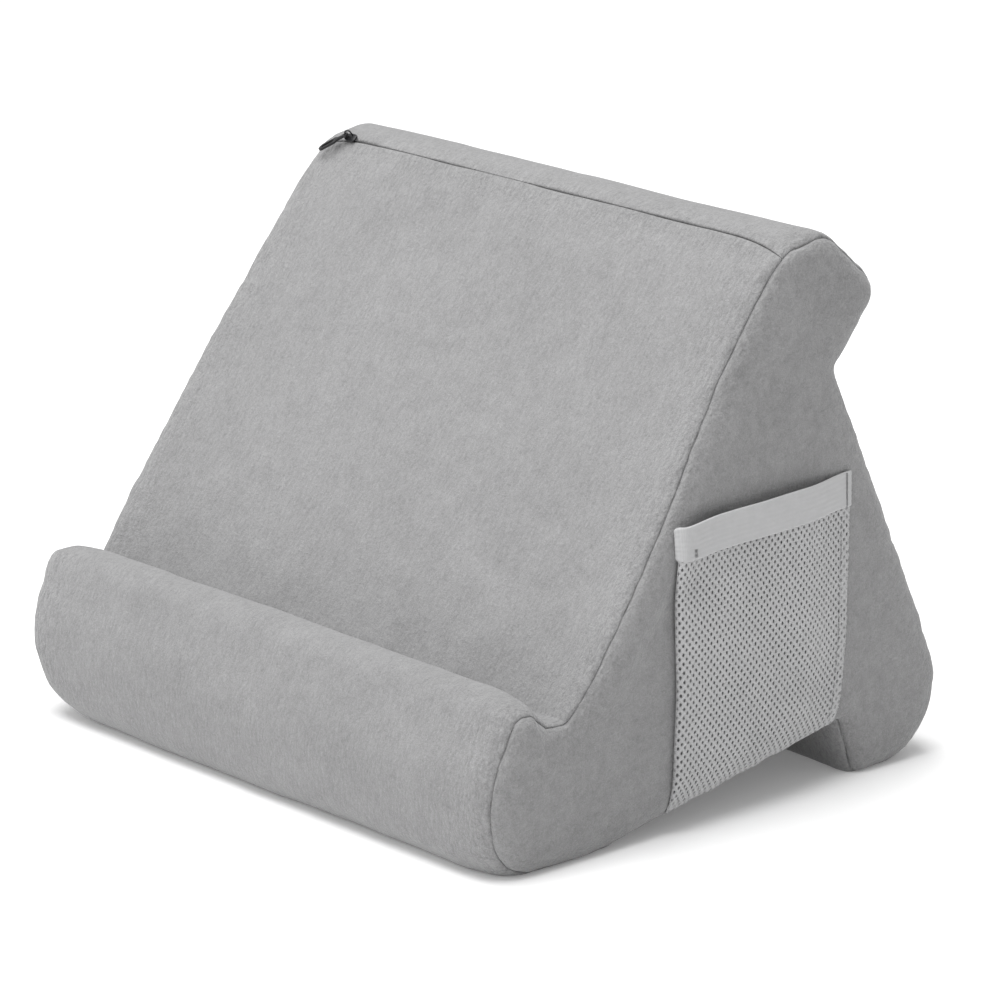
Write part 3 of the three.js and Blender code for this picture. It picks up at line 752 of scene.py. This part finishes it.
for sgn, name in ((-1, "rear"), (1, "front")):
    qs = np.linspace(2.95, 14.0, 12)
    V = []
    for lvl in (2.4, 2.9):
        V.append(np.stack([at_x(sgn * q, ZX, lvl + 0.05 * math.sin(q * 1.1)) for q in qs], 0))
    top, low = V
    n1, n2 = top.shape[:2]
    verts = np.concatenate([top.reshape(-1, 3), low.reshape(-1, 3)])
    off = n1 * n2
    F = grid_faces(n1, n2) + [tuple(i + off for i in q[::-1]) for q in grid_faces(n1, n2)]
    for j in range(n2 - 1):
        F.append((j, j + 1, off + j + 1, off + j))
        a = (n1 - 1) * n2
        F.append((a + j + 1, a + j, off + a + j, off + a + j + 1))
    for i in range(n1 - 1):
        F.append(((i + 1) * n2, i * n2, off + i * n2, off + (i + 1) * n2))
        F.append((i * n2 + n2 - 1, (i + 1) * n2 + n2 - 1, off + (i + 1) * n2 + n2 - 1, off + i * n2 + n2 - 1))
    verts, F = oriented(verts, F)
    tp = make(f"zipper_tape_{name}_woven", verts, F, tape_mat, "cover", [f"zipper_tape_{name}"])
    # the coil: one nylon spiral, sewn along the tape's inner edge
    pitch = 1.25
    k = np.arange(0, 247.5 / pitch * 9 + 1) / 9.0
    xs_ = -123.7 + k * pitch
    line = at_x(0.0, xs_, 4.05)
    ang = 2 * math.pi * k + (math.pi if sgn > 0 else 0)
    P = line + zip_t * (-sgn * 1.8) + zip_t * (0.70 * np.cos(ang))[:, None] + zip_n * (0.66 * np.sin(ang))[:, None]
    v, f = tube(P, 0.25, 5)
    make(f"zipper_coil_{name}_spiral", v, f, coil_mat, "cover", [f"zipper_coil_{name}"])
    xs_ = np.arange(-123.6, 123.7, 0.6)
    P = at_x(sgn * 8.0, xs_, 3.38) + np.column_stack([np.zeros(len(xs_)), np.zeros(len(xs_)), 0.10 * np.sin(xs_ * 2 * math.pi / 3.2)])
    v, f = tube(P, 0.22, 5)
    make(f"zipper_stitch_{name}_line", v, f, thread_mat, "cover", [f"zipper_stitch_{name}"])

for sgn, name in ((-1, "left"), (1, "right")):
    parts = []
    xs_ = np.linspace(120.5, 122.3, 40) * sgn
    zig = np.where(np.arange(40) % 2 == 0, -1.75, 1.75)
    base = at_x(0.0, xs_, 2.7)
    P = base + zip_t * zig[:, None]
    v, f = tube(P, 0.16, 5)
    make(f"zipper_bartack_{name}", v, f, stitch_mat, "cover", [f"zipper_end_tack_{name}"])

# ------------------------------------------------------------------ slider and pull
SLIDER_X = -112.5
pin_dir = np.array([-0.787, -0.36, -0.5])
pin_dir /= np.linalg.norm(pin_dir)
_a, _b = np.array([125.2, 211.6]), np.array([108.56, 189.08])
face_a = np.array([0.0, -(_a[1] - _b[1]), _a[0] - _b[0]])
face_a /= np.linalg.norm(face_a)
flat_ = face_a - pin_dir * (face_a @ pin_dir)
flat_ /= np.linalg.norm(flat_)
_w = math.radians(27)
pull_face = flat_ * math.cos(_w) + np.cross(pin_dir, flat_) * math.sin(_w)
pull_across = np.cross(pull_face, pin_dir)
pivot = np.array([-116.75, 34.131, 211.208]) - SHIFT  # on the pull's hinge


def rounded(points, r, n=5):
    """Closed outline with its corners rounded."""
    p = np.array(points, float)
    out = []
    for i in range(len(p)):
        a, b_, c = p[i - 1], p[i], p[(i + 1) % len(p)]
        u1, u2 = (a - b_), (c - b_)
        l1, l2 = np.linalg.norm(u1), np.linalg.norm(u2)
        k = min(r, l1 * 0.45, l2 * 0.45)
        s, e = b_ + u1 / l1 * k, b_ + u2 / l2 * k
        for j in range(n + 1):
            f = j / n
            out.append((1 - f) ** 2 * s + 2 * f * (1 - f) * b_ + f * f * e)
    return np.array(out)


def plate(outline, n0, n1, edge, crown=0.0):
    """A plate with rounded edges, from its outline in X and T; crown lifts its middle."""
    c = outline.mean(0)
    levels = []
    for k in range(4):
        a = math.pi / 2 * k / 3
        levels.append((edge * (1 - math.sin(a)), n0 + edge * (1 - math.cos(a))))
    levels = [(edge * (1 - math.sin(math.pi / 2 * k / 3)), n0 + edge * (1 - math.cos(math.pi / 2 * k / 3))) for k in range(4)]
    up = [(i, n1 - (h - n0)) for i, h in levels[::-1]]
    V, n = [], len(outline)
    nrm = np.roll(outline, -1, 0) - np.roll(outline, 1, 0)
    nrm = np.column_stack([nrm[:, 1], -nrm[:, 0]])
    nrm /= np.maximum(np.linalg.norm(nrm, axis=1), 1e-9)[:, None]
    if ((outline - c) * nrm).sum() < 0:
        nrm = -nrm
    rings = []
    for ins, h in levels + up:
        q = outline - nrm * ins
        rings.append([zf(a, b, h) for a, b in q])
    for f in (0.75, 0.45):
        q = c + (outline - nrm * edge - c) * f
        rings.append([zf(a, b, n1 + crown * (1 - f * f)) for a, b in q])
    for r in rings:
        V += r
    F = []
    for k in range(len(rings) - 1):
        for i in range(n):
            j = (i + 1) % n
            F.append((k * n + i, k * n + j, (k + 1) * n + j, (k + 1) * n + i))
    F.append(tuple(range(n))[::-1])
    F.append(tuple((len(rings) - 1) * n + i for i in range(n)))
    return V, F


top_plate = rounded([(-3.0, 0.9), (-2.0, 1.6), (0.2, 1.9), (2.2, 1.8), (3.2, 1.2), (3.2, -1.2), (2.2, -1.8), (0.2, -1.9), (-2.0, -1.6), (-3.0, -0.9)], 0.7) + [SLIDER_X, 0]
low_plate = rounded([(-4.4, 1.6), (-3.2, 3.3), (3.4, 3.3), (4.4, 2.4), (4.4, -2.4), (3.4, -3.3), (-3.2, -3.3), (-4.4, -1.6)], 0.9) + [SLIDER_X, 0]
post = rounded([(-2.6, 0.2), (-0.2, 0.2), (1.4, 0.14), (1.4, -0.14), (-0.2, -0.2), (-2.6, -0.2)], 0.15, 3) + [SLIDER_X, 0]
parts = [oriented(*plate(top_plate, 0.30, 1.15, 0.26, 0.18)), oriented(*plate(low_plate, -6.3, -5.35, 0.22)),
         oriented(*plate(post, -5.9, 0.8, 0.05))]
for tt in (3.12, -3.12):
    fl = rounded([(-3.0, tt - 0.17), (3.2, tt - 0.17), (3.2, tt + 0.17), (-3.0, tt + 0.17)], 0.12, 2) + [SLIDER_X, 0]
    parts.append(oriented(*plate(fl, -5.6, -4.2, 0.05)))
bow = []
for a in np.linspace(0, math.pi, 21):
    bow.append(pivot + pin_dir * (1.3 * math.cos(a)) + pull_face * (1.3 * math.sin(a)))


def leg(p):
    """From the plate up to an end of the bow; straight through the pull's eye before it bends."""
    k = p - pull_face * 0.62
    h = float((k - zf(SLIDER_X, 0, 0)) @ zip_n)
    return [k + zip_n * (0.75 - h) * f for f in (1.0, 0.66, 0.33)] + [k, p - pull_face * 0.3]


path = leg(bow[0]) + bow + leg(bow[-1])[::-1]
parts.append(oriented(*tube(path, 0.30, 12)))
V, F = joined(parts)
make("zipper_slider_cast", V, F, metal, "slider", ["zipper_slider"])


def pull_outline():
    out = []
    a0 = math.radians(62)
    for a in np.linspace(a0, 2 * math.pi - a0, 26):
        out.append((1.3 + 1.27 * math.cos(a), 1.27 * math.sin(a)))
    side_ = []
    for s_ in np.linspace(1.9, 4.0, 5):
        side_.append((s_, -(1.12 - 0.17 * (s_ - 1.9) / 2.1)))
    for f in np.linspace(0.12, 1, 9):
        x_ = (1 - f) ** 2 * 4.0 + 2 * f * (1 - f) * 5.2 + f * f * 6.4
        y_ = (1 - f) ** 2 * 0.95 + 2 * f * (1 - f) * 1.0 + f * f * 2.2
        side_.append((x_, -y_))
    for x_ in (7.6, 9.0, 10.6, 12.0):
        side_.append((x_, -2.2))
    out += side_
    for a in np.linspace(-math.pi / 2, math.pi / 2, 17):
        out.append((12.4 + 2.2 * math.cos(a), 2.2 * math.sin(a)))
    out += [(x_, -y_) for x_, y_ in side_[::-1]]
    return np.array(out)


def hole_outline(c0, c1, r, n=12):
    out = []
    for a in np.linspace(-math.pi / 2, math.pi / 2, n):
        out.append((c1 + r * math.cos(a), r * math.sin(a)))
    for a in np.linspace(math.pi / 2, 3 * math.pi / 2, n):
        out.append((c0 + r * math.cos(a), r * math.sin(a)))
    return np.array(out[:-1] if c0 == c1 else out)


def pull_mesh(thick, edge):
    """Bevelled sheet with an eye and a slot, built ring by ring and filled on both faces."""
    loops = [(pull_outline(), 1.0), (hole_outline(1.3, 1.3, 0.6, 14), -1.0), (hole_outline(8.0, 12.2, 1.05), -1.0)]
    clean = []
    for L, way in loops:
        keep = [0]
        for i in range(1, len(L)):
            if np.linalg.norm(L[i] - L[keep[-1]]) > 0.02 and np.linalg.norm(L[i] - L[0]) > 0.02:
                keep.append(i)
        L = L[keep]
        area = (L[:, 0] * np.roll(L[:, 1], -1) - np.roll(L[:, 0], -1) * L[:, 1]).sum()
        if area < 0:
            L = L[::-1]
        nrm = np.roll(L, -1, 0) - np.roll(L, 1, 0)
        nrm = np.column_stack([nrm[:, 1], -nrm[:, 0]])
        nrm /= np.linalg.norm(nrm, axis=1)[:, None]
        clean.append((L, nrm * way))
    heights = []
    for k in range(4):
        a = math.pi / 2 * k / 3
        heights.append((edge * (1 - math.sin(a)), -thick / 2 + edge * (1 - math.cos(a))))
    heights += [(i, -h) for i, h in heights[::-1]]
    V, F, first = [], [], []
    for L, nrm in clean:
        n = len(L)
        start = len(V)
        first.append(start)
        for ins, h in heights:
            for p in L - nrm * ins:
                V.append(pivot + pin_dir * p[0] + pull_across * p[1] + pull_face * h)
        for k in range(len(heights) - 1):
            for i in range(n):
                j = (i + 1) % n
                q = (start + k * n + i, start + k * n + j, start + (k + 1) * n + j, start + (k + 1) * n + i)
                F.append(q if nrm is clean[0][1] else q[::-1])
    for lvl in (0, len(heights) - 1):
        pts, ids, edges = [], [], []
        for (L, nrm), start in zip(clean, first):
            n = len(L)
            b0 = len(pts)
            pts += [Vector(p) for p in L - nrm * edge]
            ids += [start + lvl * n + i for i in range(n)]
            edges += [(b0 + i, b0 + (i + 1) % n) for i in range(n)]
        v2, _, f2, ov, *_ = delaunay_2d_cdt(pts, edges, [], 2, 1e-6)
        keep_face = []
        outer = np.array([tuple(p) for p in pts[:len(clean[0][0])]])
        h1 = clean[1][0]
        h2 = clean[2][0]
        for q in f2:
            c = np.mean([tuple(v2[i]) for i in q], axis=0)[None]
            if inside(outer, c)[0] and not inside(h1, c)[0] and not inside(h2, c)[0]:
                q = tuple(ids[ov[i][0]] for i in q)
                keep_face.append(q if lvl else q[::-1])
        F += keep_face
    return V, F


V, F = pull_mesh(0.9, 0.2)
V, F = oriented(V, F)
make("zipper_pull_tab", V, F, metal, "pull", ["zipper_pull"])

# ------------------------------------------------------------------ pocket
_pv, _pf = panels[1][0], panel_f
bvh = BVHTree.FromPolygons([Vector(p) for p in _pv], _pf)
POLY_Y_AT_BOTTOM = BOUND[(BOUND[:, 1] < 60)]


def skin_x(y, z):
    out = np.zeros(len(y))
    for i, (a, b_) in enumerate(zip(y, z)):
        hit = bvh.ray_cast(Vector((300, a, b_)), Vector((-1, 0, 0)))
        out[i] = hit[0].x if hit[0] is not None else np.nan
    return out


_bot = [(y, z) for y, z in BOUND if 24 < y < 149.5 and z < 30]
_bot = np.array(sorted(_bot))


def z_floor(y):
    """Height of the bottom seam at y."""
    return np.interp(y, _bot[:, 0], _bot[:, 1])


def y_left(z):
    return np.interp(z, [8, 60, 108, 122], [59.6, 59.8, 59.9, 60.2])


def y_right(z):
    return np.interp(z, [20, 45, 66, 90, 122], [145.2, 147.0, 148.4, 149.6, 151.0])


def stand(y, z, right=None):
    """How far the pocket stands off the side of the cushion."""
    yr = y_right(z) if right is None else right
    side_ = smooth((yr - 3.0 - y) / 24.0)
    low = smooth((z - z_floor(np.clip(y, 60, 147))) / 20.0)
    mouth = 1 + 0.08 * smooth((z - 80) / 40.0) * smooth((yr - y) / 50)
    h = 0.45 + 3.2 * side_ * (0.05 + 0.95 * low) * mouth
    p = np.column_stack([np.full(len(y), 10.0), y, z])
    fold = np.sin((y * 0.62 + z * 0.78) / 3.9 + 1.3 * n3(p, 30, 2.0)) * 0.34 + 0.55 * n3(p, 26, 7.0)
    return h + fold * side_ * low * 0.8


def pocket_point(a, b_, lift, y0=None):
    """The pocket's sheet: a along it from its left fold, b height; lift out from the sheet."""
    a, b_ = np.asarray(a, float), np.asarray(b_, float)
    yl, yr = y_left(b_), y_right(b_)
    zb = np.maximum(b_, z_floor(np.clip(yl + np.maximum(a, 0), 60, 147)))
    over = np.maximum(0.0, z_floor(np.clip(yl + np.maximum(a, 0), 60, 147)) - b_)
    R0 = stand(yl + 3.0, zb) / 2
    a_arc = R0  # the sheet is flat beyond this
    y = yl + a
    out = np.zeros((len(a), 3))
    face = (a >= a_arc) & (y <= yr)
    arc = a < a_arc
    back = y > yr
    w = np.clip((a_arc - a) / np.maximum(R0, 0.2), 0, None)
    yy = y.copy()
    xx = np.zeros(len(a))
    xx[face] = stand(y[face], zb[face]) + lift
    over_pi = np.maximum(0, w - math.pi) * R0
    wc = np.minimum(w, math.pi)
    yy[arc] = (yl + R0 - (R0 + lift) * np.sin(wc) + over_pi)[arc]
    xx[arc] = (R0 + (R0 + lift) * np.cos(wc))[arc] + 0.3 * (wc[arc] / math.pi)
    # the hem: the sheet turns under along its right edge
    tb = y - yr
    yy[back] = (yr - tb * 0.98)[back]
    xx[back] = -0.12
    xx[back] += np.where(tb[back] < 0.4, 0.35 * (1 - tb[back] / 0.4), 0)
    sx = skin_x(np.clip(yy, 57, 153), np.maximum(zb, z_floor(np.clip(yy, 60, 147)) + 0.12))
    bad = np.isnan(sx)
    if bad.any():
        sx[bad] = x_seam(zb[bad]) + 0.2
    out[:, 0] = sx + np.maximum(xx, 0.12) - over * 0.9
    out[:, 1] = yy
    out[:, 2] = zb - np.where(over > 0, 0.0, 0.0)
    return out


# the net: a warp knit with oval holes, each hole and the yarn round it a real ring
PA, PB = 3.0, 3.4
HOLE = (0.47, 0.71)
cells = []
jb = 0
b0 = 4.0
while b0 + jb * PB / 2 < 114.5:
    bb = b0 + jb * PB / 2
    a0 = -9.0 + (PA / 2 if jb % 2 else 0)
    aa = np.arange(a0, 98.5, PA)
    for a in aa:
        y = 60 + a
        if bb < float(z_floor(min(max(y, 60), 147))) - 3.2:
            continue
        if y > float(y_right(bb)) + 5.0:
            continue
        if a < 7.0 and bb < float(z_floor(min(max(y, 60), 147))) + (1.4 if a < 1.5 else 0.2):
            continue
        cells.append((a, bb))
    jb += 1
cells = np.array(cells)
outer_pts = np.array([(1.5, 0), (1.5, .188), (.75, .85), (0, 1.512), (-.75, .85), (-1.5, .188), (-1.5, 0), (-1.5, -.188), (-.75, -.85), (0, -1.512), (.75, -.85), (1.5, -.188)])
inner_ang = np.radians([0, 26, 56, 90, 124, 154, 180, 206, 236, 270, 304, 334])
hole_r = 1 + 0.10 * n3(np.column_stack([cells, np.zeros(len(cells))]), 2.0, 4.0)
inner = np.stack([HOLE[0] * np.cos(inner_ang), HOLE[1] * np.sin(inner_ang)], 1)
vo = (cells[:, None, :] + outer_pts[None]).reshape(-1, 2)
vi = (cells[:, None, :] + inner[None] * hole_r[:, None, None]).reshape(-1, 2)
key = np.round(vo * 1000).astype(np.int64)
# neighbouring cells share their outer points
_, first_i, inv = np.unique(key // 3, axis=0, return_index=True, return_inverse=True)
inv = inv.reshape(-1)
uo = vo[first_i]
ab = np.concatenate([uo, vi])
nc_, no_ = len(cells), len(uo)
F = []
for c in range(nc_):
    for k in range(12):
        l = (k + 1) % 12
        F.append((inv[c * 12 + k], inv[c * 12 + l], no_ + c * 12 + l, no_ + c * 12 + k))
P = pocket_point(ab[:, 0], ab[:, 1], 0.0)
net = make("pocket_net_knit", P, F, net_mat, "cover", ["pocket_mesh"])
solidify(net, 0.42, 0.0)

# the elastic band: ribbed along its length, it turns round the pocket's left edge
BAND_LO, BAND_HI = 107.6, 121.2
ribs, per = 7, 6
bz = np.linspace(0, 1, ribs * per + 1)
prof = 0.10 * (0.5 + 0.5 * np.cos(2 * math.pi * ribs * bz)) - 0.05
prof = -prof
edge_in = np.minimum(bz, 1 - bz) * (BAND_HI - BAND_LO)
prof = prof - 0.28 * np.clip(1 - edge_in / 0.7, 0, 1) ** 2
ba = np.concatenate([np.linspace(-4.6, 2.4, 28), np.arange(3.2, 91.0, 0.95)])
A, Bz = np.meshgrid(ba, bz, indexing="ij")
right_lift = 0.5 * smooth((A - 70) / 22)
zz = BAND_LO - 2.4 * (1 - A / 92) + (BAND_HI - BAND_LO) * Bz + right_lift + 0.12 * n3(np.column_stack([A.ravel(), np.zeros(A.size), np.zeros(A.size)]), 22, 3.3).reshape(A.shape)
zz = zz - 0.9 * np.exp(-((A - 1.5) / 5.0) ** 2) * (Bz - 0.35)
zz = zz - smooth(-(A - 0.5) / 4.5) * (2.6 * Bz - 0.5)
lift = 0.75 + np.broadcast_to(prof, A.shape)
# the surface is followed at the band's middle height, so that it stays a flat strip across
mid_z = np.full(A.size, 113.0) + (zz.ravel() - 113.0) * 0.35
P = pocket_point(np.minimum(A.ravel(), 90.4), mid_z, 0.0)
P2 = pocket_point(np.minimum(A.ravel(), 90.4), mid_z, 1.0)
dirn = P2 - P
dirn[:, 2] = 0
nl = np.linalg.norm(dirn, axis=1)
dirn = np.where((nl > 0.3)[:, None], dirn / np.maximum(nl, 1e-6)[:, None], np.array([1.0, 0, 0]))
outer_s = P + dirn * lift.ravel()[:, None]
inner_s = P + dirn * (lift.ravel() - 0.75 - 0 * lift.ravel())[:, None] * 0 + dirn * 0.08
outer_s[:, 2] = zz.ravel()
inner_s[:, 2] = zz.ravel()
nr, ncl = A.shape
offb = nr * ncl
F = grid_faces(nr, ncl) + [tuple(i + offb for i in q[::-1]) for q in grid_faces(nr, ncl)]
for j in range(ncl - 1):
    F.append((j, j + 1, offb + j + 1, offb + j))
    a = (nr - 1) * ncl
    F.append((a + j + 1, a + j, offb + a + j, offb + a + j + 1))
for i in range(nr - 1):
    F.append(((i + 1) * ncl, i * ncl, offb + i * ncl, offb + (i + 1) * ncl))
    F.append((i * ncl + ncl - 1, (i + 1) * ncl + ncl - 1, offb + (i + 1) * ncl + ncl - 1, offb + i * ncl + ncl - 1))
V, F = oriented(np.concatenate([outer_s, inner_s]), F)
band = make("pocket_elastic_ribbed", V, F, band_mat, "cover", ["pocket_elastic_band"])


def stitches(ya, za, lift, length=2.2, gap=0.7, r=0.17):
    """Separate stitches along a line over the pocket."""
    ya, za = np.asarray(ya, float), np.asarray(za, float)
    s = np.concatenate([[0], np.cumsum(np.hypot(np.diff(ya), np.diff(za)))])
    parts = []
    t0 = 0.0
    while t0 + length < s[-1]:
        f = np.linspace(0, 1, 7)
        y = np.interp(t0 + f * length, s, ya)
        z = np.interp(t0 + f * length, s, za)
        dip = np.array([-0.35, 0.0, 0.10, 0.14, 0.10, 0.0, -0.35])
        p = pocket_point(y - y_left(z), z, 0.0)
        p[:, 0] += lift + dip
        p[:, 2] = z
        parts.append(tube(p, r, 5))
        t0 += length + gap
    return parts


zs = np.linspace(27.5, 107.0, 60)
parts = stitches(y_right(zs) - 4.6, zs, 0.32)
V, F = joined(parts)
make("pocket_hem_stitches", V, F, stitch_mat, "cover", ["pocket_hem_thread"])

# bar tacks: a few close passes of thread at each end of the band
for name, yc, z0, z1, wide in (("front", 65.6, 106.4, 109.6, 0.8), ("rear", 148.0, 108.2, 121.2, 0.30)):
    n = 17 if name == "front" else 61
    z = np.linspace(z0, z1, n)
    y = yc + wide * np.where(np.arange(n) % 2 == 0, -1.0, 1.0)
    p = pocket_point(y - y_left(z), np.full(n, 113.0), 0.0)
    p[:, 0] += 0.86
    p[:, 2] = z
    v, f = tube(p, 0.15, 5)
    make(f"pocket_bartack_{name}_thread", v, f, stitch_mat, "cover", [f"pocket_bartack_{name}"])

# ------------------------------------------------------------------ floor, lights, camera
me = bpy.data.meshes.new("floor")
S = 30.0
me.from_pydata([(-S, -S, 0), (S, -S, 0), (S, S, 0), (-S, S, 0)], [], [(0, 1, 2, 3)])
floor = bpy.data.objects.new("floor", me)
bpy.context.scene.collection.objects.link(floor)
fm, ft, fb, fco = material("floor_white", (0.9, 0.9, 0.9), 0.9, spec=0.1)
tinted(ft, fb, (0.90, 0.90, 0.90), ramp(ft, noise_tex(ft, fco, 3, 2), 0.3, 0.7, 0.995, 1.005))
# the floor glows a little though it is no lamp: this lightens the shadows on it and lights the cushion's underside
fb.inputs["Emission Color"].default_value = (1, 1, 1, 1)
fb.inputs["Emission Strength"].default_value = 0.11
me.materials.append(fm)

CENTRE = Vector((0.0, 0.0, 0.10))


def area(name, az, el, dist, size, power, colour=(1, 1, 1)):
    """A soft box at that azimuth and elevation, aimed at the object. Azimuth 0 is in front (-Y), 90 on +X."""
    d = bpy.data.lights.new(name, "AREA")
    d.shape = "RECTANGLE"
    d.size, d.size_y = size
    d.energy = power
    d.color = colour
    o = bpy.data.objects.new(name, d)
    a, e = math.radians(az), math.radians(el)
    o.location = CENTRE + Vector((math.sin(a) * math.cos(e), -math.cos(a) * math.cos(e), math.sin(e))) * dist
    o.rotation_euler = (CENTRE - o.location).to_track_quat("-Z", "Y").to_euler()
    bpy.context.scene.collection.objects.link(o)
    return o


area("key_top", -30, 80, 2.2, (2.2, 1.8), 68)
area("fill_front", -5, 30, 2.8, (2.0, 1.4), 15)
area("fill_right", 70, 8, 3.0, (1.6, 1.4), 0.8)

w = bpy.data.worlds.new("studio")
bpy.context.scene.world = w
w.use_nodes = True
w.node_tree.nodes["Background"].inputs[0].default_value = (1, 1, 1, 1)
w.node_tree.nodes["Background"].inputs[1].default_value = 0.465

cam = bpy.data.cameras.new("camera")
cam.lens = 192.57
cam.sensor_width = 36
cam.clip_end = 100
co_ = bpy.data.objects.new("camera", cam)
bpy.context.scene.collection.objects.link(co_)
co_.location = Vector((1.46142, -1.30099, 0.66846))
az, el = math.radians(48.1046), math.radians(16.3968)
fw = Vector((-math.sin(az) * math.cos(el), math.cos(az) * math.cos(el), -math.sin(el)))
co_.rotation_euler = fw.to_track_quat("-Z", "Y").to_euler()
bpy.context.scene.camera = co_
bpy.context.scene.view_settings.view_transform = "Standard"
bpy.context.scene.view_settings.look = "None"
bpy.context.scene.view_settings.exposure = 0.0
